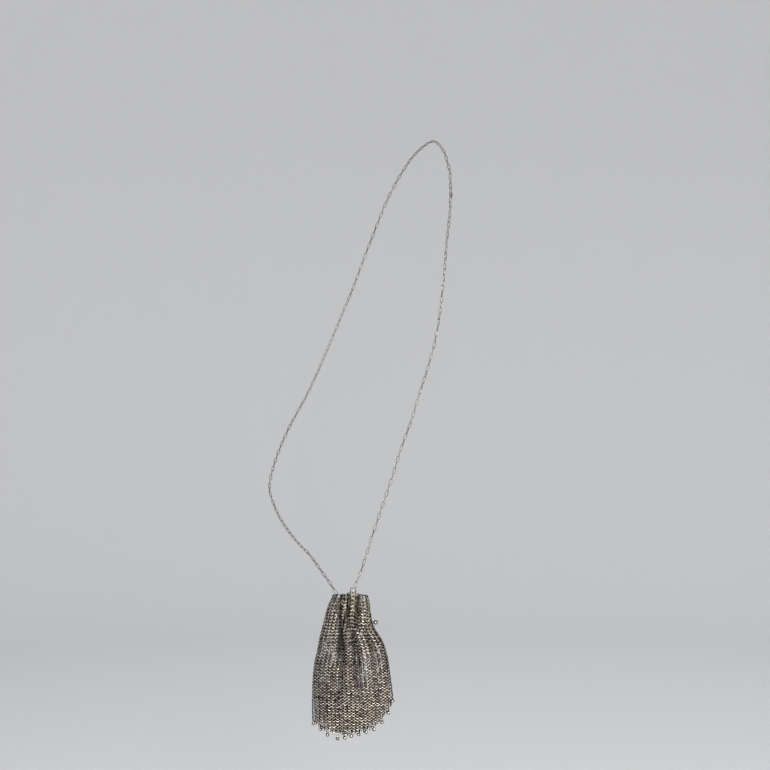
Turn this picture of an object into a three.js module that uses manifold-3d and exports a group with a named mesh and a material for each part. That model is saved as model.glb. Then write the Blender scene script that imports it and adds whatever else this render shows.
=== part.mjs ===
// A drawstring purse of fine steel ring mesh on a long cable chain, with small balls hung along its foot.
// Millimetres, +Z up, the purse's front towards -Y.
// The origin is the top of the chain's loop, where it lies over a shoulder.

import * as THREE from 'three';
import { mergeVertices } from 'three/addons/utils/BufferGeometryUtils.js';
import Module from 'manifold-3d';

// The bag
const bagWidth = 80;
const bagHeight = 136;
const bagDepth = 22;
const bagCentre = { x: -81, y: -151 };
const mouthLevel = -441;
const wall = 2.2; // the tilted rings make a sheet this thick
const gatherDepth = 3; // crest height of the folds above the drawstring
const foldDepth = 2.4; // crest height of the soft folds below it
const footSeam = 3.4; // height of mesh closed together along the foot
const neckDown = 0.235; // the drawstring's place between mouth and foot

// The chain and its two joining rings
const chainWidth = 3;
const joinRingWidth = 4.2;
const joinWire = 0.8;
const joinSpacing = 2.2;

// The ball at each end of the drawstring
const stopBallWidth = 4.6;
const shankWidth = 1;
const eyeWidth = 3.2;
const eyeWire = 0.8;
const leftBallTurn = 215; // degrees round the bag from its right side
const holeReach = 3; // length of the cut for a shank, in wall thicknesses

// The balls along the foot
const dropBallWidth = 3.7;
const dropLoopWidth = 2.2;
const dropWire = 0.5;
const loopSink = 0.35; // how deep a loop's wire is soldered into its ball

const clearance = 0.3;

// Mesh fineness
const around = 72;
const sectionPlaces = [0, 0.04, 0.09, 0.14, 0.19, 0.23, 0.26, 0.29, 0.33, 0.38, 0.44,
  0.51, 0.58, 0.65, 0.72, 0.79, 0.85, 0.9, 0.945];
const tubeSides = 8;
const frontSteps = 33;
const backSteps = 46;
const ringSides = 14;
const wireSides = 6;
const ballSides = 14;
const ballRows = 8;
const shankSides = 8;
const dropSides = 10;
const dropRows = 7;
const loopSides = 10;
const loopWireSides = 5;
const normalStep = 0.01; // turn between the two points that give the sheet's direction
const weldWithin = 1e-4;

// Down each side: reach left and right of the centre line as shares of the width, half depth as a
// share of the half depth at the fullest, and how much of the gathers and folds there is.
const sideTable = [
  { down: 0.0, left: 0.245, right: 0.185, depth: 0.86, gather: 1.0, fold: 0.0 },
  { down: 0.08, left: 0.303, right: 0.216, depth: 0.88, gather: 1.0, fold: 0.0 },
  { down: 0.17, left: 0.342, right: 0.23, depth: 0.82, gather: 0.95, fold: 0.0 },
  { down: 0.25, left: 0.371, right: 0.25, depth: 0.76, gather: 0.7, fold: 0.35 },
  { down: 0.31, left: 0.398, right: 0.283, depth: 0.84, gather: 0.15, fold: 0.9 },
  { down: 0.38, left: 0.421, right: 0.341, depth: 0.94, gather: 0.0, fold: 1.0 },
  { down: 0.45, left: 0.441, right: 0.386, depth: 1.0, gather: 0.0, fold: 1.0 },
  { down: 0.52, left: 0.469, right: 0.416, depth: 1.0, gather: 0.0, fold: 0.9 },
  { down: 0.6, left: 0.484, right: 0.437, depth: 0.96, gather: 0.0, fold: 0.7 },
  { down: 0.7, left: 0.495, right: 0.456, depth: 0.86, gather: 0.0, fold: 0.4 },
  { down: 0.8, left: 0.499, right: 0.474, depth: 0.68, gather: 0.0, fold: 0.15 },
  { down: 0.9, left: 0.5, right: 0.491, depth: 0.44, gather: 0.0, fold: 0.0 },
  { down: 0.96, left: 0.5, right: 0.498, depth: 0.27, gather: 0.0, fold: 0.0 },
  { down: 1.0, left: 0.5, right: 0.5, depth: 0.0, gather: 0.0, fold: 0.0 },
];

// Across the front, from -1 at the left side to 1 at the right: the mouth's edge and the foot,
// as shares of the height, both measured from the mouth level.
const edgeTable = [
  { across: -1.0, rise: 0.0, drop: 0.914 },
  { across: -0.85, rise: 0.016, drop: 0.917 },
  { across: -0.61, rise: 0.014, drop: 0.971 },
  { across: -0.37, rise: 0.012, drop: 1.0 },
  { across: -0.19, rise: 0.014, drop: 0.994 },
  { across: -0.04, rise: 0.032, drop: 0.982 },
  { across: 0.17, rise: 0.07, drop: 0.967 },
  { across: 0.4, rise: 0.024, drop: 0.943 },
  { across: 0.6, rise: 0.016, drop: 0.917 },
  { across: 0.8, rise: 0.006, drop: 0.828 },
  { across: 0.9, rise: -0.006, drop: 0.797 },
  { across: 1.0, rise: -0.032, drop: 0.77 },
];

// Gathers of the front above the drawstring: place across at the mouth and at the neck,
// half width in the same measure, and height as a share of the gather depth.
const gathers = [
  { mouth: -0.78, neck: -0.62, reach: 0.26, height: 0.7 },
  { mouth: -0.48, neck: -0.26, reach: 0.14, height: -0.9 },
  { mouth: -0.3, neck: -0.13, reach: 0.14, height: 0.95 },
  { mouth: -0.1, neck: 0.0, reach: 0.11, height: -1.0 },
  { mouth: 0.17, neck: 0.16, reach: 0.2, height: 1.0 },
  { mouth: 0.5, neck: 0.38, reach: 0.15, height: -0.8 },
  { mouth: 0.84, neck: 0.72, reach: 0.2, height: 0.6 },
];

// Soft folds of the front below the drawstring: place across at the neck and where they die away.
const folds = [
  { neck: -0.6, foot: -0.72, reach: 0.3, height: 0.35 },
  { neck: -0.2, foot: -0.44, reach: 0.2, height: -1.0 },
  { neck: -0.02, foot: -0.08, reach: 0.2, height: 0.7 },
  { neck: 0.2, foot: 0.19, reach: 0.13, height: -1.0 },
  { neck: 0.45, foot: 0.5, reach: 0.2, height: 0.4 },
  { neck: 0.7, foot: 0.76, reach: 0.12, height: -0.6 },
];
const foldFoot = 0.8; // where the folds have died away
const backGathers = 4.5; // waves across the plain back
const backHeight = 0.7; // their height, as a share of the front's
const sideFade = 0.5; // share of the depth over which gathers fade in from the sides

// Balls along the foot: place across the bag's width, rise above the foot's line as a share of the
// height, and side: 0 hangs under the edge, 1 clear before the mesh and -1 clear behind it.
const dropTable = [
  { across: -0.477, rise: 0.02, side: -0.72 },
  { across: -0.393, rise: 0, side: 0 },
  { across: -0.306, rise: 0, side: 0 },
  { across: -0.186, rise: 0, side: 0 },
  { across: -0.097, rise: 0, side: 0 },
  { across: -0.019, rise: 0, side: 0 },
  { across: 0.071, rise: 0, side: 0 },
  { across: 0.16, rise: 0, side: 0 },
  { across: 0.257, rise: 0, side: 0 },
  { across: 0.355, rise: 0, side: 0 },
  { across: 0.431, rise: 0, side: 0 },
  { across: 0.482, rise: 0.062, side: 1 },
];

// The chain's route, from the right of the mouth up to the joining rings, x y z
const frontRoute = [
  [-101, -151, -465], [-93, -152.7, -457], [-84.5, -153.2, -447], [-80, -152.7, -438],
  [-78, -150.5, -430.5], [-72, -146.5, -415.3], [-60.3, -142, -379.2], [-49.4, -139, -347.2],
  [-42.4, -137, -326.8], [-33.9, -134, -299.9], [-23.7, -131, -271.6], [-17.6, -129, -251.6],
  [-10.6, -126.5, -230], [-3.7, -124, -207.3], [1.1, -121, -185.6], [4.3, -114, -165],
  [6.4, -107, -147.2], [8.2, -101, -131.8], [10.7, -87, -103.6], [14.1, -70, -75.2],
];
const joinPoint = [15.7, -57, -54.4];

// From the joining rings over the shoulder, down the back, round the waist and into the mouth's left
const backRoute = [
  [15.5, -49, -41.9], [14.8, -40, -29.6], [12.3, -32, -19.8], [10.2, -25, -12.1],
  [5.5, -14, -4.3], [0, 0, 0], [-8.5, 14.7, -3.2], [-23.7, 37.1, -18],
  [-44.8, 59.6, -53.8], [-64.3, 71.4, -100.7], [-84.1, 71.5, -153], [-105.7, 59, -204.7],
  [-128.2, 38, -255.5], [-149.4, 10.7, -294.8], [-161.5, -20.3, -324.7], [-165.9, -46, -347.8],
  [-160.4, -64, -363.9], [-151.8, -80, -378.1], [-137.1, -100, -394.8], [-122.8, -118, -407],
  [-112.6, -132, -418.9], [-102.6, -144, -431], [-97.5, -149.2, -438], [-91.5, -150, -446],
  [-82, -149.6, -456], [-73.5, -150, -464.5],
];

const steel = new THREE.MeshStandardMaterial({ color: 0x8d877c, roughness: 0.38, metalness: 1 });
const darkSteel = new THREE.MeshStandardMaterial({ color: 0x6a6357, roughness: 0.42, metalness: 1 });
const polishedSteel = new THREE.MeshStandardMaterial({ color: 0x77716a, roughness: 0.16, metalness: 1 });

const wasm = await Module();
wasm.setup();

// A smooth curve through one column of a table.
function readTable(table, key, column, place) {
  let row = 0;
  while (row < table.length - 2 && place > table[row + 1][key]) row += 1;
  const here = table[row];
  const next = table[row + 1];
  const before = table[Math.max(row - 1, 0)];
  const after = table[Math.min(row + 2, table.length - 1)];
  const gap = next[key] - here[key];
  const share = THREE.MathUtils.clamp((place - here[key]) / gap, 0, 1);
  const startSlope = gap * (next[column] - before[column]) / (next[key] - before[key]);
  const endSlope = gap * (after[column] - here[column]) / (after[key] - here[key]);
  const square = share * share;
  const cube = square * share;
  return here[column] * (2 * cube - 3 * square + 1) + next[column] * (3 * square - 2 * cube)
    + startSlope * (cube - 2 * square + share) + endSlope * (cube - square);
}

// One rounded crest: 1 in its middle, 0 at its reach.
function crest(distance, reach) {
  const share = Math.min(Math.abs(distance) / reach, 1);
  return (1 + Math.cos(Math.PI * share)) / 2;
}

// How far the sheet stands out of its plain oval, across the front and the back.
function swell(across, facing, down) {
  const gather = readTable(sideTable, 'down', 'gather', down) * gatherDepth;
  const fade = Math.min(Math.abs(facing) / sideFade, 1);
  if (facing < 0) {
    return gather * backHeight * fade * Math.cos(backGathers * Math.PI * across);
  }
  const fold = readTable(sideTable, 'down', 'fold', down) * foldDepth;
  const toNeck = Math.min(down / neckDown, 1);
  const toFoot = THREE.MathUtils.clamp((down - neckDown) / (foldFoot - neckDown), 0, 1);
  let out = 0;
  for (const row of gathers) {
    out += gather * row.height * crest(across - THREE.MathUtils.lerp(row.mouth, row.neck, toNeck), row.reach);
  }
  for (const row of folds) {
    out += fold * row.height * crest(across - THREE.MathUtils.lerp(row.neck, row.foot, toFoot), row.reach);
  }
  return out * fade;
}

// A point of the bag's sheet. The turn runs from the right side over the front to the left and round the back,
// down runs from the mouth to the foot, and offset goes outwards from the middle of the sheet.
function bagPoint(turn, down, offset) {
  const across = Math.cos(turn);
  const facing = Math.sin(turn);
  const left = readTable(sideTable, 'down', 'left', down) * bagWidth;
  const right = readTable(sideTable, 'down', 'right', down) * bagWidth;
  const halfWidth = (left + right) / 2 - wall / 2;
  const halfDepth = readTable(sideTable, 'down', 'depth', down) * (bagDepth - wall) / 2;
  const normal = new THREE.Vector2(halfDepth * across + wall * across, -halfWidth * facing).normalize();
  const out = swell(across, facing, down);
  const frontShare = (1 + facing) / 2;
  const top = readTable(edgeTable, 'across', 'rise', across) * frontShare * bagHeight;
  const foot = -readTable(edgeTable, 'across', 'drop', across) * bagHeight;
  return new THREE.Vector3(
    bagCentre.x + (right - left) / 2 + (halfWidth + offset) * across + normal.x * out,
    bagCentre.y - (halfDepth + offset) * facing + normal.y * out,
    mouthLevel + THREE.MathUtils.lerp(top, foot, down),
  );
}

// The sheet's outward direction, level with the floor.
function bagNormal(turn, down) {
  const before = bagPoint(turn - normalStep, down, 0);
  const after = bagPoint(turn + normalStep, down, 0);
  return new THREE.Vector3(before.y - after.y, after.x - before.x, 0).normalize();
}

function toManifold(geometry, matrix) {
  const bare = geometry.clone();
  bare.deleteAttribute('normal');
  bare.deleteAttribute('uv');
  if (matrix) bare.applyMatrix4(matrix);
  const merged = mergeVertices(bare, weldWithin);
  return new wasm.Manifold(new wasm.Mesh({
    numProp: 3,
    vertProperties: new Float32Array(merged.attributes.position.array),
    triVerts: new Uint32Array(merged.index.array),
  }));
}

function toGeometry(solid) {
  const mesh = solid.getMesh();
  const geometry = new THREE.BufferGeometry();
  geometry.setAttribute('position', new THREE.BufferAttribute(new Float32Array(mesh.vertProperties), 3));
  geometry.setIndex(new THREE.BufferAttribute(new Uint32Array(mesh.triVerts), 1));
  geometry.computeVertexNormals();
  return geometry;
}

function addMesh(group, name, geometry, material) {
  const mesh = new THREE.Mesh(geometry, material);
  mesh.name = name;
  group.add(mesh);
  return mesh;
}

// The bag's hollow shell: outer sheet, closed foot, inner sheet with its own floor, and the mouth's rim.
function bagShell() {
  const points = [];
  const faces = [];
  const innerEnd = 1 - footSeam / bagHeight;
  const addRing = (down, offset) => {
    const first = points.length;
    for (let step = 0; step < around; step += 1) {
      points.push(bagPoint((2 * Math.PI * step) / around, down, offset));
    }
    return first;
  };
  const joinRings = (upper, lower) => {
    for (let step = 0; step < around; step += 1) {
      const next = (step + 1) % around;
      faces.push([upper + step, lower + next, lower + step], [upper + step, upper + next, lower + next]);
    }
  };
  const closeAcross = (ring, outwards) => {
    for (let step = 0; step < around / 2; step += 1) {
      const front = [ring + step, ring + step + 1];
      const back = [ring + ((around - step) % around), ring + around - step - 1];
      const pieces = [];
      if (step > 0) pieces.push([front[0], back[1], back[0]]);
      if (step < around / 2 - 1) pieces.push([front[0], front[1], back[1]]);
      for (const piece of pieces) faces.push(outwards ? piece : piece.reverse());
    }
  };
  const outerRings = [...sectionPlaces, innerEnd, 1].map((down) => addRing(down, wall / 2));
  const innerRings = [...sectionPlaces, innerEnd].map((down) => addRing(down, -wall / 2));
  for (let row = 0; row < outerRings.length - 1; row += 1) {
    joinRings(outerRings[row], outerRings[row + 1]);
  }
  for (let row = 0; row < innerRings.length - 1; row += 1) {
    joinRings(innerRings[row + 1], innerRings[row]);
  }
  joinRings(innerRings[0], outerRings[0]);
  closeAcross(outerRings[outerRings.length - 1], true);
  closeAcross(innerRings[innerRings.length - 1], false);
  const geometry = new THREE.BufferGeometry();
  const places = points.flatMap((point) => [point.x, point.y, point.z]);
  geometry.setAttribute('position', new THREE.Float32BufferAttribute(places, 3));
  geometry.setIndex(faces.flat());
  return geometry;
}

// A stop ball's seat: outside the sheet at the neck, its X axis pointing outwards.
function stopBallSeat(turn) {
  const normal = bagNormal(turn, neckDown);
  const middle = bagPoint(turn, neckDown, 0);
  const place = middle.clone().addScaledVector(normal, wall / 2 + clearance + stopBallWidth / 2);
  return { place, normal, angle: Math.atan2(normal.y, normal.x) };
}

const shankLength = stopBallWidth / 2 + clearance + wall + clearance + eyeWire;
const eyeDistance = shankLength + eyeWidth / 2 - eyeWire / 2;

// Ball, shank and eye in one, along the X axis with the ball at the origin.
function stopBallGeometry() {
  const ball = new THREE.SphereGeometry(stopBallWidth / 2, ballSides, ballRows);
  const shank = new THREE.CylinderGeometry(shankWidth / 2, shankWidth / 2, shankLength, shankSides);
  shank.rotateZ(Math.PI / 2);
  shank.translate(-shankLength / 2, 0, 0);
  const eye = new THREE.TorusGeometry((eyeWidth - eyeWire) / 2, eyeWire / 2, wireSides, ringSides);
  eye.translate(-eyeDistance, 0, 0);
  return toGeometry(toManifold(ball).add(toManifold(shank)).add(toManifold(eye)));
}

// The hole that a shank passes through, as a cutter in the seat's place.
function shankHole(seat) {
  const radius = shankWidth / 2 + clearance;
  const cutter = new THREE.CylinderGeometry(radius, radius, wall * holeReach, shankSides);
  cutter.rotateZ(Math.PI / 2);
  cutter.translate(-(stopBallWidth / 2 + clearance + wall / 2), 0, 0);
  const matrix = new THREE.Matrix4().makeRotationZ(seat.angle).setPosition(seat.place);
  return toManifold(cutter, matrix);
}

// The middle of a stop ball's eye, where the chain's last link hangs.
function eyeCentre(seat) {
  return seat.place.clone().addScaledVector(seat.normal, -eyeDistance);
}

// A point of the route that stops short of a ring of the given width.
function shortOf(centre, width, towards) {
  const direction = towards.clone().sub(centre).normalize();
  return centre.clone().addScaledVector(direction, width / 2 + clearance);
}

function tube(points, steps) {
  const section = new THREE.Shape();
  for (let side = 0; side < tubeSides; side += 1) {
    const turn = (2 * Math.PI * side) / tubeSides;
    const corner = [Math.cos(turn) * chainWidth / 2, Math.sin(turn) * chainWidth / 2];
    if (side === 0) section.moveTo(...corner);
    else section.lineTo(...corner);
  }
  const path = new THREE.CatmullRomCurve3(points, false, 'centripetal');
  return new THREE.ExtrudeGeometry(section, { steps, extrudePath: path, bevelEnabled: false });
}

// A ball with a wire loop soldered on top, the ball's middle at the origin.
function dropGeometry() {
  const ball = new THREE.SphereGeometry(dropBallWidth / 2, dropSides, dropRows);
  ball.rotateX(Math.PI / 2);
  const loop = new THREE.TorusGeometry((dropLoopWidth - dropWire) / 2, dropWire / 2, loopWireSides, loopSides);
  loop.rotateX(Math.PI / 2);
  loop.translate(0, 0, (dropBallWidth + dropLoopWidth) / 2 - loopSink);
  return toGeometry(toManifold(ball).add(toManifold(loop)));
}

// The foot's level at a place across the bag's width.
function footAt(share) {
  const left = readTable(sideTable, 'down', 'left', 1) * bagWidth;
  const right = readTable(sideTable, 'down', 'right', 1) * bagWidth;
  const across = (share * bagWidth - (right - left) / 2) / ((left + right) / 2);
  return bagPoint(Math.acos(THREE.MathUtils.clamp(across, -1, 1)), 1, 0).z;
}

function joinRing(centre, direction, quarterTurn) {
  const ring = new THREE.TorusGeometry((joinRingWidth - joinWire) / 2, joinWire / 2, wireSides, ringSides);
  const mesh = new THREE.Mesh(ring, darkSteel);
  const along = new THREE.Quaternion().setFromUnitVectors(new THREE.Vector3(1, 0, 0), direction);
  const roll = new THREE.Quaternion().setFromAxisAngle(new THREE.Vector3(1, 0, 0), quarterTurn);
  mesh.quaternion.copy(along.multiply(roll));
  mesh.position.copy(centre);
  return mesh;
}

const purse = new THREE.Group();
purse.name = 'purse';

const rightSeat = stopBallSeat(0);
const leftSeat = stopBallSeat(THREE.MathUtils.degToRad(leftBallTurn));
const shell = toManifold(bagShell()).subtract(shankHole(rightSeat)).subtract(shankHole(leftSeat));
addMesh(purse, 'mesh_bag', toGeometry(shell), steel);

for (const [name, seat] of [['stop_ball_right', rightSeat], ['stop_ball_left', leftSeat]]) {
  const ball = addMesh(purse, name, stopBallGeometry(), polishedSteel);
  ball.position.copy(seat.place);
  ball.rotation.z = seat.angle;
}

const frontPoints = frontRoute.map((point) => new THREE.Vector3(...point));
const backPoints = backRoute.map((point) => new THREE.Vector3(...point));
const join = new THREE.Vector3(...joinPoint);
const upwards = backPoints[0].clone().sub(frontPoints[frontPoints.length - 1]).normalize();
const lowerRing = join.clone().addScaledVector(upwards, -joinSpacing / 2);
const upperRing = join.clone().addScaledVector(upwards, joinSpacing / 2);
frontPoints.unshift(shortOf(eyeCentre(leftSeat), eyeWidth, frontPoints[0]));
frontPoints.push(shortOf(lowerRing, joinRingWidth, frontPoints[frontPoints.length - 1]));
backPoints.unshift(shortOf(upperRing, joinRingWidth, backPoints[0]));
backPoints.push(shortOf(eyeCentre(rightSeat), eyeWidth, backPoints[backPoints.length - 1]));
addMesh(purse, 'chain_front', tube(frontPoints, frontSteps), darkSteel);
addMesh(purse, 'chain_back', tube(backPoints, backSteps), darkSteel);

const rings = [['join_ring_lower', lowerRing, 0], ['join_ring_upper', upperRing, Math.PI / 2]];
for (const [name, centre, quarterTurn] of rings) {
  const ring = joinRing(centre, upwards, quarterTurn);
  ring.name = name;
  purse.add(ring);
}

const dropLength = dropBallWidth / 2 + dropLoopWidth - loopSink;
const loopShare = dropLoopWidth / 2 / bagWidth;
dropTable.forEach((row, index) => {
  const drop = addMesh(purse, `drop_${String(index + 1).padStart(2, '0')}`, dropGeometry(), polishedSteel);
  const beside = row.side * (wall / 2 + clearance + dropBallWidth / 2);
  const rise = row.rise * bagHeight;
  drop.position.set(
    bagCentre.x + row.across * bagWidth,
    bagCentre.y - beside,
    Math.min(footAt(row.across - loopShare), footAt(row.across + loopShare)) - clearance - dropLength + rise,
  );
});

export default purse;
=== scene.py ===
import math
import random

import bmesh
import bpy
from mathutils import Matrix, Quaternion, Vector


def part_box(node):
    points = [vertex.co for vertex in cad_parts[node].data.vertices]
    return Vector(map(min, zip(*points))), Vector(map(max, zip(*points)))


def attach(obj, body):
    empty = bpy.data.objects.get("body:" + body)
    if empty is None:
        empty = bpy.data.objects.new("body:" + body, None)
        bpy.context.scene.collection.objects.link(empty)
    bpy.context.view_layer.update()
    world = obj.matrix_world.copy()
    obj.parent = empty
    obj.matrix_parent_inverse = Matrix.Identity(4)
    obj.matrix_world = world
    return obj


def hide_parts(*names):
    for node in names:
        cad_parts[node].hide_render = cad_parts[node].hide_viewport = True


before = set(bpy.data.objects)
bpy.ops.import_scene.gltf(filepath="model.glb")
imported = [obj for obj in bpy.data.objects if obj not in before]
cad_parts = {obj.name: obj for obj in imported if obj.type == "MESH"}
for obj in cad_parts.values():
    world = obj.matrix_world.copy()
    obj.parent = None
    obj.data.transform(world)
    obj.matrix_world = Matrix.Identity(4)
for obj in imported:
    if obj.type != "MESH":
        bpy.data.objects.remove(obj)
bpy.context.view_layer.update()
mm = 0.001
print("frame loaded,", len(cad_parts), "nodes")


# sRGB hex to the linear colour that the nodes want
def linear(hexColour):
    channels = [int(hexColour[i:i + 2], 16) / 255 for i in (0, 2, 4)]
    return [c / 12.92 if c <= 0.04045 else ((c + 0.055) / 1.055) ** 2.4 for c in channels] + [1]


def addNode(tree, kind, inputs=None, **settings):
    node = tree.nodes.new(kind)
    for name, value in settings.items():
        setattr(node, name, value)
    for name, value in (inputs or {}).items():
        if isinstance(value, bpy.types.NodeSocket):
            tree.links.new(value, node.inputs[name])
        else:
            node.inputs[name].default_value = value
    return node


def mix(a, b, share):
    return a + (b - a) * share


def clamp(value, low=0, high=1):
    return min(max(value, low), high)


def newObject(name, bm, smooth=True):
    mesh = bpy.data.meshes.new(name)
    bm.to_mesh(mesh)
    bm.free()
    if smooth:
        mesh.shade_smooth()
    thing = bpy.data.objects.new(name, mesh)
    bpy.context.scene.collection.objects.link(thing)
    return thing


# rides on the one body, stands for its CAD nodes and takes the given finish
def fitPiece(piece, material, slotName, *nodes):
    piece.data.materials.clear()
    piece.data.materials.append(material)
    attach(piece, "root")
    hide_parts(*nodes)


# the photograph's angle and distance, in millimetres
view = {"place": (-49.7, -2572.0, -67.8), "downwards": 4.0, "lens": 118, "sensor": 36}


def makeCamera():
    camera = bpy.data.objects.new("camera", bpy.data.cameras.new("camera"))
    camera.data.lens = view["lens"]
    camera.data.sensor_width = view["sensor"]
    camera.location = Vector(view["place"]) * mm
    camera.rotation_euler = (math.radians(90 - view["downwards"]), 0, 0)
    bpy.context.scene.collection.objects.link(camera)
    bpy.context.scene.camera = camera


makeCamera()


# the bag's sheet: the CAD shell's form, with its pleats and folds pressed deeper inwards; millimetres
bag = {
    "width": 80, "height": 136, "depth": 22, "centre": (-81, -151), "mouthLevel": -441, "wall": 2.2,
    "gatherDepth": 3, "foldDepth": 2.4, "neckDown": 0.235, "foldFoot": 0.8,
    "flatCrest": 0.5, "backGathers": 4.5, "backHeight": 0.7, "backFold": 0.4, "sideFade": 0.5,
    "wearAndShadeEase": 6,
}

# down each side: down, left, right, depth, gather, fold, as shares, and how much deeper than a crest is
# high a valley goes, which keeps every row of rings at its full length
sideTable = [
    (0.0, 0.245, 0.185, 0.86, 1.0, 0.0, 2.4),
    (0.08, 0.303, 0.216, 0.88, 1.0, 0.0, 2.1),
    (0.17, 0.342, 0.23, 0.82, 0.95, 0.0, 2.0),
    (0.25, 0.371, 0.25, 0.76, 0.7, 0.35, 2.4),
    (0.31, 0.398, 0.283, 0.84, 0.15, 0.9, 2.5),
    (0.38, 0.421, 0.341, 0.94, 0.0, 1.0, 2.3),
    (0.45, 0.441, 0.386, 1.0, 0.0, 1.0, 1.8),
    (0.52, 0.469, 0.416, 1.0, 0.0, 0.9, 1.6),
    (0.6, 0.484, 0.437, 0.96, 0.0, 0.7, 1.7),
    (0.7, 0.495, 0.456, 0.86, 0.0, 0.4, 1.8),
    (0.8, 0.499, 0.474, 0.68, 0.0, 0.15, 1.8),
    (0.9, 0.5, 0.491, 0.44, 0.0, 0.0, 1.8),
    (0.96, 0.5, 0.498, 0.27, 0.0, 0.0, 1.8),
    (1.0, 0.5, 0.5, 0.0, 0.0, 0.0, 1.8),
]

# across the front from the left side to the right: across, rise of the edge, drop of the foot
edgeTable = [
    (-1.0, 0.0, 0.914), (-0.85, 0.016, 0.938), (-0.61, 0.014, 0.976), (-0.37, 0.012, 0.993),
    (-0.19, 0.014, 1.0), (-0.04, 0.032, 0.994), (0.17, 0.07, 0.984), (0.4, 0.024, 0.961),
    (0.6, 0.016, 0.924), (0.8, 0.006, 0.862), (0.9, -0.006, 0.823), (1.0, -0.032, 0.77),
]

# gathers above the drawstring: place at the mouth, place at the neck, reach, height
gathers = [
    (-0.78, -0.62, 0.26, 0.7), (-0.48, -0.26, 0.14, -0.9), (-0.3, -0.13, 0.14, 0.95),
    (-0.1, 0.0, 0.11, -1.0), (0.17, 0.16, 0.2, 1.0), (0.5, 0.38, 0.15, -0.8), (0.84, 0.72, 0.2, 0.6),
]

# soft folds below the drawstring: place at the neck, place at the foot, reach, height
folds = [
    (-0.6, -0.72, 0.3, 0.35), (-0.2, -0.44, 0.2, -1.0), (-0.02, -0.08, 0.2, 0.7),
    (0.2, 0.19, 0.13, -1.0), (0.45, 0.5, 0.2, 0.4), (0.7, 0.76, 0.12, -0.6),
]


# a smooth curve through one column of a table
def readTable(table, column, place):
    row = 0
    while row < len(table) - 2 and place > table[row + 1][0]:
        row += 1
    here, after = table[row], table[row + 1]
    before, later = table[max(row - 1, 0)], table[min(row + 2, len(table) - 1)]
    gap = after[0] - here[0]
    t = clamp((place - here[0]) / gap)
    startSlope = gap * (after[column] - before[column]) / (after[0] - before[0])
    endSlope = gap * (later[column] - here[column]) / (later[0] - here[0])
    return (here[column] * (2 * t ** 3 - 3 * t ** 2 + 1) + after[column] * (3 * t ** 2 - 2 * t ** 3)
            + startSlope * (t ** 3 - 2 * t ** 2 + t) + endSlope * (t ** 3 - t ** 2))


def crest(distance, reach):
    return (1 + math.cos(math.pi * min(abs(distance) / reach, 1))) / 2


# how far the sheet stands out of its plain oval
def swell(across, facing, down):
    gather = readTable(sideTable, 4, down) * bag["gatherDepth"]
    fold = readTable(sideTable, 5, down) * bag["foldDepth"]
    deeper = readTable(sideTable, 6, down)
    fade = min(abs(facing) / bag["sideFade"], 1)
    if facing < 0:
        wave = math.cos(bag["backGathers"] * math.pi * across)
        return (gather + fold * bag["backFold"]) * bag["backHeight"] * fade * wave
    toNeck = min(down / bag["neckDown"], 1)
    toFoot = clamp((down - bag["neckDown"]) / (bag["foldFoot"] - bag["neckDown"]))
    pleat = sum(h * crest(across - mix(a, b, toNeck), reach) for a, b, reach, h in gathers)
    crease = sum(h * crest(across - mix(a, b, toFoot), reach) for a, b, reach, h in folds)
    out = gather * (pleat * deeper if pleat < 0 else min(pleat, bag["flatCrest"]))
    return fade * (out + fold * crease * (deeper if crease < 0 else 1))


# darker below a half down in a fold, as film and painted shade, and lighter above it on a crest, as wear
def wearAndFoldShadeAt(turn, drop):
    top = topRise(turn)
    down = clamp((top + drop) / (top - footLevel(turn)))
    return clamp(0.5 + swell(math.cos(turn), math.sin(turn), down) / (bag["wearAndShadeEase"] * bag["foldDepth"]))


def topRise(turn):
    return readTable(edgeTable, 1, math.cos(turn)) * (1 + math.sin(turn)) / 2 * bag["height"]


def footLevel(turn):
    return -readTable(edgeTable, 2, math.cos(turn)) * bag["height"]


# a point in the middle of the sheet, in millimetres; drop is its level under the mouth
def sheetPoint(turn, drop, leastDepth=0):
    across, facing = math.cos(turn), math.sin(turn)
    top = topRise(turn)
    down = (top + drop) / (top - footLevel(turn))
    left = readTable(sideTable, 1, down) * bag["width"]
    right = readTable(sideTable, 2, down) * bag["width"]
    wall = bag["wall"]
    halfWidth = (left + right) / 2 - wall / 2
    halfDepth = readTable(sideTable, 3, down) * (bag["depth"] - wall) / 2
    normal = Vector(((halfDepth + wall) * across, -halfWidth * facing)).normalized()
    out = swell(across, facing, clamp(down))
    halfDepth = max(halfDepth, leastDepth)
    return Vector((
        bag["centre"][0] + (right - left) / 2 + halfWidth * across + normal.x * out,
        bag["centre"][1] - halfDepth * facing + normal.y * out,
        bag["mouthLevel"] - drop,
    ))


# Steel wire rings, drawn and butted, decades old: greyish with a warm brown film between the rings that is
# darkened there to near black as painted shade, and bright on the sheet's outer side as wear with a painted
# highlight; the values are fitted to the photograph
ringFinish = {
    "bright": "f4eddf", "grey": "8a8173", "film": "2a241c", "deep": "070605",
    "roughBright": 0.3, "roughFilm": 0.5, "patchSize": 12, "scratchSize": 0.5, "rubLightFrom": 0.66, "rubLightTo": 1.4,
    "toneShare": 0.6, "patchShare": 0.15, "deepAt": 0.15, "filmAt": 0.4, "greyAt": 0.66, "brightAt": 0.95,
    "scratchStrength": 0.25, "scratchDepth": 0.05,
}


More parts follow.
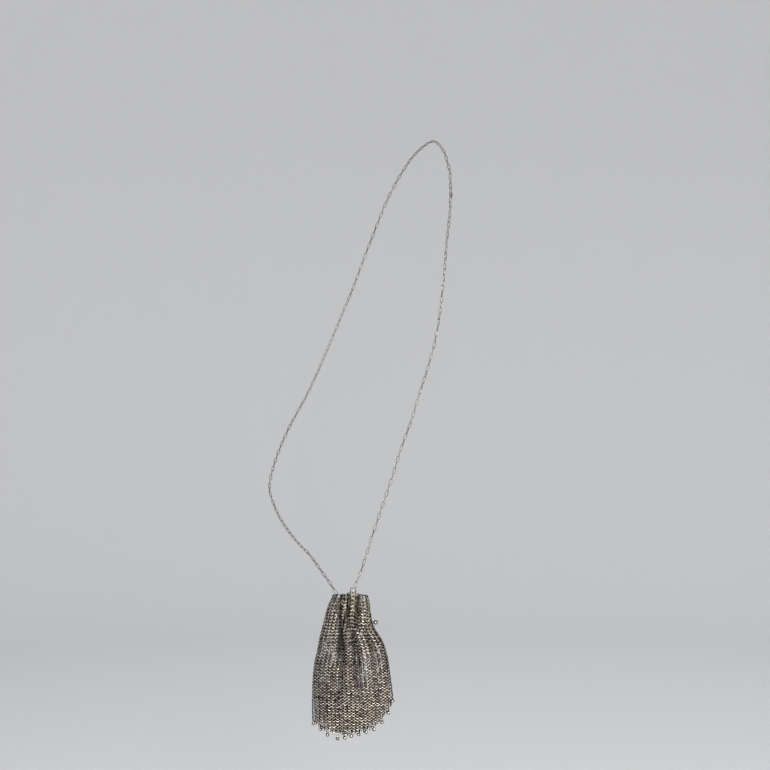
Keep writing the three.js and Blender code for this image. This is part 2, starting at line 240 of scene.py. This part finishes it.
def agedSteelWireAndPaintedLight():
    material = bpy.data.materials.new("aged_steel_wire_and_painted_light")
    material.use_nodes = True
    tree = material.node_tree
    shader = tree.nodes["Principled BSDF"]
    place = addNode(tree, "ShaderNodeTexCoord").outputs["Object"]
    rub = addNode(tree, "ShaderNodeAttribute", attribute_name="rub").outputs["Fac"]
    tone = addNode(tree, "ShaderNodeAttribute", attribute_name="tone").outputs["Fac"]
    patch = addNode(tree, "ShaderNodeTexNoise", {
        "Vector": place, "Scale": 1 / (ringFinish["patchSize"] * mm), "Detail": 3}).outputs["Fac"]
    # how bright: mostly the side that faces out, a painted highlight on the outermost arcs and painted shade
    # on the rest, a little the ring's tone, which carries painted shade and light too, and its patch
    outer = addNode(tree, "ShaderNodeMapRange", {
        "Value": rub, "From Min": ringFinish["rubLightFrom"] * mm,
        "From Max": ringFinish["rubLightTo"] * mm}).outputs["Result"]
    toneLevel = addNode(tree, "ShaderNodeMath", {
        0: tone, 1: ringFinish["toneShare"], 2: -ringFinish["toneShare"] / 2}, operation="MULTIPLY_ADD")
    spread = addNode(tree, "ShaderNodeMath", {
        0: patch, 1: ringFinish["patchShare"], 2: -ringFinish["patchShare"] / 2}, operation="MULTIPLY_ADD")
    both = addNode(tree, "ShaderNodeMath", {0: toneLevel.outputs[0], 1: spread.outputs[0]})
    level = addNode(tree, "ShaderNodeMath", {0: outer, 1: both.outputs[0]}, use_clamp=True)
    ramp = addNode(tree, "ShaderNodeValToRGB", {"Fac": level.outputs[0]})
    stops = ramp.color_ramp.elements
    stops[0].position, stops[0].color = ringFinish["deepAt"], linear(ringFinish["deep"])
    stops[1].position, stops[1].color = ringFinish["brightAt"], linear(ringFinish["bright"])
    for colour in ("film", "grey"):
        stops.new(ringFinish[colour + "At"]).color = linear(ringFinish[colour])
    rough = addNode(tree, "ShaderNodeMapRange", {
        "Value": level.outputs[0], "To Min": ringFinish["roughFilm"], "To Max": ringFinish["roughBright"]})
    scratch = addNode(tree, "ShaderNodeTexNoise", {
        "Vector": place, "Scale": 1 / (ringFinish["scratchSize"] * mm), "Detail": 2})
    bump = addNode(tree, "ShaderNodeBump", {
        "Height": scratch.outputs["Fac"], "Strength": ringFinish["scratchStrength"],
        "Distance": ringFinish["scratchDepth"] * mm})
    tree.links.new(ramp.outputs["Color"], shader.inputs["Base Color"])
    tree.links.new(rough.outputs["Result"], shader.inputs["Roughness"])
    tree.links.new(bump.outputs["Normal"], shader.inputs["Normal"])
    shader.inputs["Metallic"].default_value = 1
    return material


# Steel with an old brown oxide, bright in patches and where it rubs on cloth, at the front and back
chainFinish = {
    "bright": "a89c8b", "oxide": "3b3229", "deep": "14100c", "roughness": 0.3, "patchSize": 3,
    "wearAndHighlightFrom": 0.8, "wearAndHighlightTo": 1.0, "wearAndHighlightBy": 0.15,
}
oxideStops = {"deep": 0.3, "oxide": 0.5, "bright": 0.72, "bumpStrength": 0.2, "bumpDepth": 0.05}


def oxidisedSteel(name, finish):
    material = bpy.data.materials.new(name)
    material.use_nodes = True
    tree = material.node_tree
    shader = tree.nodes["Principled BSDF"]
    place = addNode(tree, "ShaderNodeTexCoord").outputs["Object"]
    patch = addNode(tree, "ShaderNodeTexNoise", {
        "Vector": place, "Scale": 1 / (finish["patchSize"] * mm), "Detail": 4, "Roughness": 0.6})
    # lighter on the sides that face front and back: wear on the chain links, and a painted highlight on the
    # balls
    normal = addNode(tree, "ShaderNodeTexCoord").outputs["Normal"]
    facing = addNode(tree, "ShaderNodeSeparateXYZ", {"Vector": normal})
    towards = addNode(tree, "ShaderNodeMath", {0: facing.outputs["Y"]}, operation="ABSOLUTE")
    wearAndHighlight = addNode(tree, "ShaderNodeMapRange", {
        "Value": towards.outputs[0], "From Min": finish["wearAndHighlightFrom"], "From Max": finish["wearAndHighlightTo"],
        "To Max": finish["wearAndHighlightBy"]}).outputs["Result"]
    level = addNode(tree, "ShaderNodeMath", {0: patch.outputs["Fac"], 1: wearAndHighlight}, use_clamp=True)
    ramp = addNode(tree, "ShaderNodeValToRGB", {"Fac": level.outputs[0]})
    stops = ramp.color_ramp.elements
    stops[0].position, stops[0].color = oxideStops["deep"], linear(finish["deep"])
    stops[1].position, stops[1].color = oxideStops["bright"], linear(finish["bright"])
    stops.new(oxideStops["oxide"]).color = linear(finish["oxide"])
    bump = addNode(tree, "ShaderNodeBump", {
        "Height": patch.outputs["Fac"], "Strength": oxideStops["bumpStrength"],
        "Distance": oxideStops["bumpDepth"] * mm})
    tree.links.new(ramp.outputs["Color"], shader.inputs["Base Color"])
    tree.links.new(bump.outputs["Normal"], shader.inputs["Normal"])
    shader.inputs["Metallic"].default_value = 1
    shader.inputs["Roughness"].default_value = finish["roughness"]
    return material


# Turned steel balls, polished and browned with age: a dark mirror with a painted highlight, a bright spot on
# the sides that face front and back
ballFinish = {
    "bright": "d8d0c4", "oxide": "463d33", "deep": "1a1511", "roughness": 0.2, "patchSize": 2.5,
    "wearAndHighlightFrom": 0.9, "wearAndHighlightTo": 0.97, "wearAndHighlightBy": 0.4,
}

ringSteel = agedSteelWireAndPaintedLight()
chainSteel = oxidisedSteel("oxidised_chain_steel", chainFinish)
ballSteel = oxidisedSteel("polished_ball_steel_painted_highlight", ballFinish)


# Many small things are one template copied to every spot and joined. Each copy keeps its tone, and its
# vertices learn how far they stand out of the sheet.
def scatterTree(template):
    tree = bpy.data.node_groups.new("scatter", "GeometryNodeTree")
    tree.interface.new_socket("Geometry", in_out="INPUT", socket_type="NodeSocketGeometry")
    tree.interface.new_socket("Geometry", in_out="OUTPUT", socket_type="NodeSocketGeometry")
    spots = addNode(tree, "NodeGroupInput").outputs["Geometry"]
    shape = addNode(tree, "GeometryNodeObjectInfo", {"Object": template})
    turnTo = addNode(tree, "GeometryNodeInputNamedAttribute", {"Name": "turnTo"}, data_type="QUATERNION")
    copies = addNode(tree, "GeometryNodeInstanceOnPoints", {
        "Points": spots, "Instance": shape.outputs["Geometry"], "Rotation": turnTo.outputs["Attribute"]})
    joined = addNode(tree, "GeometryNodeRealizeInstances", {"Geometry": copies.outputs["Instances"]})
    centre = addNode(tree, "GeometryNodeInputNamedAttribute", {"Name": "centre"}, data_type="FLOAT_VECTOR")
    outwards = addNode(
        tree, "GeometryNodeInputNamedAttribute", {"Name": "outwards"}, data_type="FLOAT_VECTOR")
    place = addNode(tree, "GeometryNodeInputPosition").outputs["Position"]
    arm = addNode(tree, "ShaderNodeVectorMath", {
        0: place, 1: centre.outputs["Attribute"]}, operation="SUBTRACT").outputs["Vector"]
    # how far each vertex stands out along its ring's outward direction; the ring finish paints its highlight
    # and shade from this
    rub = addNode(tree, "ShaderNodeVectorMath", {
        0: arm, 1: outwards.outputs["Attribute"]}, operation="DOT_PRODUCT").outputs["Value"]
    stored = addNode(tree, "GeometryNodeStoreNamedAttribute", {
        "Geometry": joined.outputs["Geometry"], "Name": "rub", "Value": rub})
    addNode(tree, "NodeGroupOutput", {"Geometry": stored.outputs["Geometry"]})
    return tree


def scatter(name, tree, spots):
    points = bmesh.new()
    for spot in spots:
        points.verts.new(spot["centre"])
    thing = newObject(name, points, smooth=False)
    for key, kind, field in (("centre", "FLOAT_VECTOR", "vector"), ("outwards", "FLOAT_VECTOR", "vector"),
                             ("turnTo", "QUATERNION", "value"), ("tone", "FLOAT", "value")):
        attribute = thing.data.attributes.new(key, kind, "POINT")
        attribute.data.foreach_set(field, [x for spot in spots for x in spot[key]])
    thing.modifiers.new("copies", "NODES").node_group = tree
    evaluated = thing.evaluated_get(bpy.context.evaluated_depsgraph_get())
    thing.modifiers.clear()
    joined = bpy.data.meshes.new_from_object(evaluated)
    thing.data = joined
    for key in ("centre", "outwards", "turnTo"):
        joined.attributes.remove(joined.attributes[key])
    joined.shade_smooth()
    print(name, len(spots), "copies,", len(joined.polygons), "faces")
    return thing


# a closed ring of round wire in the XY plane
def addRing(bm, radius, wire, steps, sides):
    section = bmesh.ops.create_circle(bm, segments=sides, radius=wire / 2)["verts"]
    bmesh.ops.rotate(bm, verts=section, cent=(0, 0, 0), matrix=Matrix.Rotation(math.pi / 2, 3, "X"))
    bmesh.ops.translate(bm, verts=section, vec=(radius, 0, 0))
    edges = {edge for vert in section for edge in vert.link_edges}
    before = set(bm.verts) - set(section)
    bmesh.ops.spin(bm, geom=section + list(edges), cent=(0, 0, 0), axis=(0, 0, 1),
                   angle=2 * math.pi, steps=steps, use_merge=True)
    verts = [vert for vert in bm.verts if vert not in before]
    faces = {face for vert in verts for face in vert.link_faces}
    bmesh.ops.recalc_face_normals(bm, faces=list(faces))
    return verts


def turnFrom(xAxis, yAxis):
    zAxis = xAxis.cross(yAxis).normalized()
    yAxis = zAxis.cross(xAxis).normalized()
    return Matrix((xAxis.normalized(), yAxis, zAxis)).transposed().to_quaternion()


# millimetres; every ring links the four around it, and the columns' rings lean in and out by turns
mail = {
    "columns": 82, "ringWidth": 4.0, "wire": 0.68, "steps": 12, "sides": 5,
    "pitchTop": 3.22, "pitchMiddle": 3.0, "pitchFoot": 2.8, "middleAt": 0.45, "rowsTo": 1.06,
    "leanTop": 18, "leanFoot": 27, "highlightUnderTilt": 0.34, "highlightOverTilt": 0.02, "litOver": 0.7,
    "firstDrop": 1.4, "footGap": 1.6, "seamDrop": 2.1,
    "jitterTurn": 3.5, "jitterMove": 0.07, "rowLift": 3.5, "levelBy": 0.35, "sheetHalf": 1.4, "samples": 96,
    "toneSpread": 0.12, "seamDull": 1.5, "topPaintedLight": 0.5, "evenAt": 0.65, "backSag": 2.2, "backShift": 0.25,
    "tightOver": 0.2, "wireRoom": 1.05, "seamSwing": 0.12, "seamTilt": 0.1, "splitAt": 0.5,
}


def rowDrops():
    drops, drop = [], mail["firstDrop"]
    while drop < bag["height"] * mail["rowsTo"]:
        drops.append(drop)
        share = drop / bag["height"]
        middle = mail["middleAt"]
        if share < middle:
            pitch = mix(mail["pitchTop"], mail["pitchMiddle"], share / middle)
        else:
            pitch = mix(mail["pitchMiddle"], mail["pitchFoot"], min((share - middle) / middle, 1))
        drop += pitch / 2
    return drops


# A row is bent up under the mouth's peak and lifts a little towards the right of the foot.
def rowLevel(turn, drop):
    fade = clamp(1 - drop / (mail["levelBy"] * bag["height"]))
    lift = mail["rowLift"] * max(math.cos(turn), 0) * clamp(drop / bag["height"]) ** 2
    depth = readTable(sideTable, 3, clamp(drop / bag["height"]))
    sag = mail["backSag"] * (depth * min(math.sin(turn), 0)) ** 2
    return drop - topRise(turn) * fade - lift + sag


# one half of a row: its places at equal steps along the sheet, from side to side
def halfRow(start, drop, count):
    turns = [start + math.pi * i / mail["samples"] for i in range(mail["samples"] + 1)]
    points = [sheetPoint(turn, rowLevel(turn, drop), mail["sheetHalf"]) for turn in turns]
    lengths = [0]
    for a, b in zip(points, points[1:]):
        lengths.append(lengths[-1] + (b - a).length)
    places, at = [], 0
    for k in range(count):
        shift = mail["backShift"] * math.sin(math.pi * k / count) if start else 0
        wanted = lengths[-1] * (k + shift) / count
        while lengths[at + 1] < wanted:
            at += 1
        share = (wanted - lengths[at]) / (lengths[at + 1] - lengths[at])
        turn = mix(turns[at], turns[at + 1], share)
        places.append((points[at].lerp(points[at + 1], share), turn))
    return places, lengths[-1] / count


def layMail():
    half = mail["columns"] // 2
    radius = (mail["ringWidth"] - mail["wire"]) / 2
    chance = random.Random(11)
    rows = []
    for drop in rowDrops():
        front, frontStep = halfRow(0, drop, half)
        back, backStep = halfRow(math.pi, drop, half)
        rows.append((front + back, frontStep, backStep, drop))
    spots, lowest = {"front": [], "back": []}, {}
    for r in range(len(rows)):
        places, frontStep, backStep, drop = rows[r]
        above, below = rows[max(r - 1, 0)][0], rows[min(r + 1, len(rows) - 1)][0]
        for k in range(r % 2, mail["columns"], 2):
            place, turn = places[k]
            room = bag["mouthLevel"] + footLevel(turn)
            if place.z < room + mail["footGap"]:
                continue
            along = (places[(k + 1) % mail["columns"]][0] - places[k - 1][0]).normalized()
            up = (above[k][0] - below[k][0]).normalized()
            out = up.cross(along).normalized()
            up = along.cross(out).normalized()
            # rings of one row that are closer than their width turn aside like slats
            step = 2 * (frontStep if k < half else backStep)
            tight = clamp((mail["ringWidth"] - step) / mail["tightOver"])
            aside = tight * math.asin(min(mail["wire"] * mail["wireRoom"] / step, 1))
            lean = math.radians(mix(mail["leanTop"], mail["leanFoot"], clamp(drop / bag["height"])))
            lean *= 1 if k % 2 else -1
            tilted = up * math.cos(lean) + out * math.sin(lean)
            turnTo = Quaternion(up, aside) @ turnFrom(along, tilted)
            loose = [math.radians(chance.gauss(0, mail["jitterTurn"])) for _ in range(3)]
            turnTo = Quaternion(up, loose[1]) @ Quaternion(out, loose[2]) @ turnTo
            turnTo = Quaternion(along, loose[0]) @ turnTo
            move = Vector([chance.gauss(0, mail["jitterMove"]) for _ in range(3)])
            tone = clamp(chance.gauss(wearAndFoldShadeAt(turn, bag["mouthLevel"] - place.z), mail["toneSpread"]))
            # painted light: rings are made brighter towards the top, as the photograph is brighter there
            # than the lights alone make it
            tone += mail["topPaintedLight"] * (mail["evenAt"] - drop / bag["height"])
            # painted light from above: rings that lean out at the top get a lighter tone all over, and in
            # rings that lean out at the bottom only the lowest arc is painted bright
            spots["front" if k < half else "back"].append({
                "centre": (place + move) * mm, "turnTo": turnTo,
                "outwards": out + up * (mail["highlightOverTilt"] if lean > 0 else -mail["highlightUnderTilt"]),
                "tone": [tone + (mail["litOver"] if lean > 0 else 0)]})
            if 0 < k < half:
                lowest[k] = place
    # along the foot, rings that stand edge on link the front sheet to the back one
    for k, place in lowest.items():
        centre = Vector((place.x, bag["centre"][1], place.z - mail["seamDrop"]))
        spots["front"].append({
            "centre": centre * mm, "outwards": Vector((0, -1, 0)),
            "turnTo": turnFrom(Vector((chance.gauss(0, mail["seamSwing"]), -1, 0)),
                               Vector((chance.gauss(0, mail["seamTilt"]), 0, 1))),
            "tone": [-mail["seamDull"] * chance.random()]})
    bm = bmesh.new()
    addRing(bm, radius * mm, mail["wire"] * mm, mail["steps"], mail["sides"])
    template = newObject("ring_template", bm)
    tree = scatterTree(template)
    split = (bag["mouthLevel"] - bag["height"] * mail["splitAt"]) * mm
    for side, all in spots.items():
        for part, chosen in (("upper", [s for s in all if s["centre"].z >= split]),
                             ("lower", [s for s in all if s["centre"].z < split])):
            fitPiece(scatter(f"ring_mesh_{side}_{part}", tree, chosen), ringSteel, "ring_mesh", "mesh_bag")
    bpy.data.objects.remove(template)


layMail()


stopBall = {"width": 4.6, "shank": 1.0, "eyeWidth": 3.2, "eyeWire": 0.8, "clearance": 0.3,
            "turns": {"stop_ball_right": 0, "stop_ball_left": 215}}


# where a stop ball sits outside the sheet at the neck, and the way out of the sheet there
def stopBallSeat(degrees):
    turn = math.radians(degrees)
    level = -mix(topRise(turn), footLevel(turn), bag["neckDown"])
    a, b = sheetPoint(turn - 0.01, level), sheetPoint(turn + 0.01, level)
    out = Vector((a.y - b.y, b.x - a.x, 0)).normalized()
    reach = bag["wall"] / 2 + stopBall["clearance"] + stopBall["width"] / 2
    return sheetPoint(turn, level) + out * reach, out


def eyeReach():
    shank = stopBall["width"] / 2 + stopBall["clearance"] * 2 + bag["wall"] + stopBall["eyeWire"]
    return shank + stopBall["eyeWidth"] / 2 - stopBall["eyeWire"] / 2


def makeStopBall(name, degrees):
    bm = bmesh.new()
    bmesh.ops.create_uvsphere(bm, u_segments=32, v_segments=18, radius=stopBall["width"] / 2)
    length = eyeReach() - (stopBall["eyeWidth"] - stopBall["eyeWire"]) / 2
    shank = bmesh.ops.create_cone(bm, cap_ends=True, segments=16, radius1=stopBall["shank"] / 2,
                                  radius2=stopBall["shank"] / 2, depth=length)["verts"]
    bmesh.ops.rotate(bm, verts=shank, cent=(0, 0, 0), matrix=Matrix.Rotation(math.pi / 2, 3, "Y"))
    bmesh.ops.translate(bm, verts=shank, vec=(-length / 2, 0, 0))
    eye = addRing(bm, (stopBall["eyeWidth"] - stopBall["eyeWire"]) / 2, stopBall["eyeWire"], 28, 10)
    bmesh.ops.translate(bm, verts=eye, vec=(-eyeReach(), 0, 0))
    place, out = stopBallSeat(degrees)
    turned = Matrix.Rotation(math.atan2(out.y, out.x), 4, "Z")
    bm.transform(Matrix.Scale(mm, 4) @ Matrix.Translation(place) @ turned)
    fitPiece(newObject(name + "_polished", bm), ballSteel, "ball_steel", name)


for name, degrees in stopBall["turns"].items():
    makeStopBall(name, degrees)
print("stop balls done")


# the small balls along the foot
drop = {"ball": 3.7, "loop": 2.2, "wire": 0.5, "sink": 0.35}


def makeDrop(name):
    low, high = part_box(name)
    middle = Vector(((low.x + high.x) / 2, (low.y + high.y) / 2, low.z + drop["ball"] / 2 * mm))
    bm = bmesh.new()
    bmesh.ops.create_uvsphere(bm, u_segments=28, v_segments=16, radius=drop["ball"] / 2)
    loop = addRing(bm, (drop["loop"] - drop["wire"]) / 2, drop["wire"], 20, 8)
    bmesh.ops.rotate(bm, verts=loop, cent=(0, 0, 0), matrix=Matrix.Rotation(math.pi / 2, 3, "X"))
    bmesh.ops.translate(bm, verts=loop, vec=(0, 0, (drop["ball"] + drop["loop"]) / 2 - drop["sink"]))
    bm.transform(Matrix.Translation(middle) @ Matrix.Scale(mm, 4))
    fitPiece(newObject(name + "_polished", bm), ballSteel, "ball_steel", name)


for name in sorted(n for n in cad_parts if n.startswith("drop_")):
    makeDrop(name)
print("drops done")


chain = {
    "pitch": 5.8, "length": 7.0, "width": 3.0, "wire": 0.6, "steps": 14, "sides": 5,
    "ringWidth": 4.2, "ringWire": 0.8, "ringSpacing": 2.2, "jitterTurn": 7, "bodyAxis": (-45, 0),
}

# from the mouth up to the joining rings, x y z
frontRoute = [
    (-101, -151, -465), (-93, -152.7, -457), (-84.5, -153.2, -447), (-80, -152.7, -438),
    (-78, -150.5, -430.5), (-72, -146.5, -415.3), (-60.3, -142, -379.2), (-49.4, -139, -347.2),
    (-42.4, -137, -326.8),
    (-33.9, -134, -299.9), (-23.7, -131, -271.6), (-17.6, -129, -251.6), (-10.6, -126.5, -230),
    (-3.7, -124, -207.3), (1.1, -121, -185.6), (4.3, -114, -165), (6.4, -107, -147.2), (8.2, -101, -131.8),
    (10.7, -87, -103.6), (14.1, -70, -75.2),
]
joinPoint = (15.7, -57, -54.4)

# from the joining rings over the shoulder, down the back, round the waist and into the mouth
backRoute = [
    (15.5, -49, -41.9), (14.8, -40, -29.6), (12.3, -32, -19.8), (10.2, -25, -12.1), (5.5, -14, -4.3),
    (0, 0, 0),
    (-8.5, 14.7, -3.2), (-23.7, 37.1, -18), (-44.8, 59.6, -53.8), (-64.3, 71.4, -100.7), (-84.1, 71.5, -153),
    (-105.7, 59, -204.7), (-128.2, 38, -255.5), (-149.4, 10.7, -294.8), (-161.5, -20.3, -324.7),
    (-165.9, -46, -347.8), (-160.4, -64, -363.9), (-151.8, -80, -378.1), (-137.1, -100, -394.8),
    (-122.8, -118, -407), (-112.6, -132, -418.9), (-102.6, -144, -431), (-97.5, -149.2, -438),
    (-91.5, -150, -446), (-82, -149.6, -456), (-73.5, -150, -464.5),
]


# a smooth centripetal curve through the points, as closely spaced points
def smoothPath(points, steps=24):
    points = [points[0] * 2 - points[1]] + points + [points[-1] * 2 - points[-2]]
    path = []
    for p0, p1, p2, p3 in zip(points, points[1:], points[2:], points[3:]):
        a, b, c = [max((q - p).length, 1e-9) ** 0.5 for p, q in ((p0, p1), (p1, p2), (p2, p3))]
        start = ((p1 - p0) / a - (p2 - p0) / (a + b) + (p2 - p1) / b) * b
        end = ((p2 - p1) / b - (p3 - p1) / (b + c) + (p3 - p2) / c) * b
        for i in range(steps):
            t = i / steps
            path.append(p1 * (2 * t ** 3 - 3 * t ** 2 + 1) + start * (t ** 3 - 2 * t ** 2 + t)
                        + p2 * (3 * t ** 2 - 2 * t ** 3) + end * (t ** 3 - t ** 2))
    return path + [points[-2]]


def strandSpots(points, firstGap, lastGap, chance):
    path = smoothPath(points)
    lengths = [0]
    for a, b in zip(path, path[1:]):
        lengths.append(lengths[-1] + (b - a).length)

    def at(distance):
        i = next((i for i in range(1, len(lengths)) if lengths[i] >= distance), len(lengths) - 1)
        return path[i - 1].lerp(path[i], clamp((distance - lengths[i - 1]) / (lengths[i] - lengths[i - 1])))

    run = lengths[-1] - firstGap - lastGap
    count = round(run / chain["pitch"]) + 1
    spots = []
    for i in range(count):
        here = firstGap + run * i / (count - 1)
        along = (at(here + chain["pitch"] / 2) - at(here - chain["pitch"] / 2)).normalized()
        centre = at(here)
        out = Vector((centre.x - chain["bodyAxis"][0], centre.y - chain["bodyAxis"][1], 0)).normalized()
        out = (out - along * out.dot(along)).normalized()
        roll = math.radians(90 * (i % 2) + chance.gauss(0, chain["jitterTurn"]))
        across = Quaternion(along, roll) @ along.cross(out)
        spots.append({"centre": centre * mm, "outwards": out, "turnTo": turnFrom(along, across),
                      "tone": [chance.random()]})
    print("strand of", round(lengths[-1]), "mm,", count, "links")
    return spots


def makeLinkTemplate():
    bm = bmesh.new()
    radius = (chain["width"] - chain["wire"]) / 2
    verts = addRing(bm, radius * mm, chain["wire"] * mm, chain["steps"], chain["sides"])
    bmesh.ops.rotate(bm, verts=verts, cent=(0, 0, 0),
                     matrix=Matrix.Rotation(math.pi / chain["steps"], 3, "Z"))
    stretch = (chain["length"] - chain["width"]) / 2 * mm
    for sign in (-1, 1):
        end = [vert for vert in verts if vert.co.x * sign > 0]
        bmesh.ops.translate(bm, verts=end, vec=(stretch * sign, 0, 0))
    return newObject("link_template", bm)


def makeJoinRing(name, centre, direction, quarterTurn):
    bm = bmesh.new()
    addRing(bm, (chain["ringWidth"] - chain["ringWire"]) / 2, chain["ringWire"], 28, 10)
    turned = Vector((1, 0, 0)).rotation_difference(direction) @ Quaternion((1, 0, 0), quarterTurn)
    bm.transform(Matrix.Scale(mm, 4) @ Matrix.Translation(centre) @ turned.to_matrix().to_4x4())
    fitPiece(newObject(name + "_wire", bm), chainSteel, "chain_steel", name)


def makeChain():
    front, back = [Vector(p) for p in frontRoute], [Vector(p) for p in backRoute]
    direction = (back[0] - front[-1]).normalized()
    lower = Vector(joinPoint) - direction * chain["ringSpacing"] / 2
    upper = Vector(joinPoint) + direction * chain["ringSpacing"] / 2
    makeJoinRing("join_ring_lower", lower, direction, 0)
    makeJoinRing("join_ring_upper", upper, direction, math.pi / 2)
    eyes = {}
    for name, degrees in stopBall["turns"].items():
        place, out = stopBallSeat(degrees)
        eyes[name] = place - out * eyeReach()
    # the last link's end lies against the inside of the ring or eye that it hangs in
    hook = (chain["length"] - chain["wire"]) / 2 - chain["wire"] / 2
    eyeGap = hook + stopBall["eyeWidth"] / 2 - stopBall["eyeWire"]
    ringGap = hook + chain["ringWidth"] / 2 - chain["ringWire"]
    chance = random.Random(5)
    template = makeLinkTemplate()
    tree = scatterTree(template)
    strands = {
        "front": strandSpots([eyes["stop_ball_left"], *front, lower], eyeGap, ringGap, chance),
        "back": strandSpots([upper, *back, eyes["stop_ball_right"]], ringGap, eyeGap, chance),
    }
    for side, spots in strands.items():
        fitPiece(scatter(f"chain_links_{side}", tree, spots), chainSteel, "chain_steel", f"chain_{side}")
    bpy.data.objects.remove(template)


makeChain()


studio = {"paper": "c6c7c9", "floor": -0.9, "radius": 3.4, "cove": 1.1, "wall": 3.2}


# a pale floor that turns up into a wall all round
def makeFloor():
    bm = bmesh.new()
    flat = studio["radius"] - studio["cove"]
    verts = [bm.verts.new((x, 0, studio["floor"])) for x in (0, flat)]
    for i in range(1, 13):
        turn = math.pi / 2 * i / 12
        verts.append(bm.verts.new((flat + studio["cove"] * math.sin(turn), 0,
                                   studio["floor"] + studio["cove"] * (1 - math.cos(turn)))))
    verts.append(bm.verts.new((studio["radius"], 0, studio["wall"])))
    edges = [bm.edges.new(pair) for pair in zip(verts, verts[1:])]
    bmesh.ops.spin(bm, geom=verts + edges, cent=(0, 0, 0), axis=(0, 0, 1), angle=2 * math.pi, steps=96,
                   use_merge=True)
    bmesh.ops.remove_doubles(bm, verts=bm.verts, dist=1e-5)
    bmesh.ops.recalc_face_normals(bm, faces=bm.faces)
    floor = newObject("floor", bm)
    material = bpy.data.materials.new("matt_paper")
    material.use_nodes = True
    shader = material.node_tree.nodes["Principled BSDF"]
    shader.inputs["Base Color"].default_value = linear(studio["paper"])
    shader.inputs["Roughness"].default_value = 0.9
    floor.data.materials.append(material)


def makeLight(name, place, aim, size, power, colour):
    light = bpy.data.objects.new(name, bpy.data.lights.new(name, "AREA"))
    light.data.shape = "DISK"
    light.data.size = size
    light.data.energy = power
    light.data.color = linear(colour)[:3]
    light.location = place
    light.rotation_mode = "QUATERNION"
    light.rotation_quaternion = (Vector(aim) - Vector(place)).to_track_quat("-Z", "Y")
    bpy.context.scene.collection.objects.link(light)


makeFloor()
makeLight("window", (1.2, -1.9, 0.7), (-0.08, -0.15, -0.45), 1.0, 78, "fffaf2")
makeLight("lamp", (0.25, -2.35, 0.1), (-0.08, -0.15, -0.45), 0.3, 18, "fffaf2")
makeLight("fill", (-1.8, -1.2, 1.2), (-0.08, -0.1, -0.4), 1.6, 24, "eef3ff")
makeLight("back", (0.4, 2.2, 2.0), (-0.05, 0, -0.3), 1.8, 35, "ffffff")
world = bpy.data.worlds.new("studio")
world.use_nodes = True
world.node_tree.nodes["Background"].inputs["Color"].default_value = linear("dfe3e8")
world.node_tree.nodes["Background"].inputs["Strength"].default_value = 0.5
bpy.context.scene.world = world
bpy.context.scene.view_settings.view_transform = "Standard"
print("studio done")
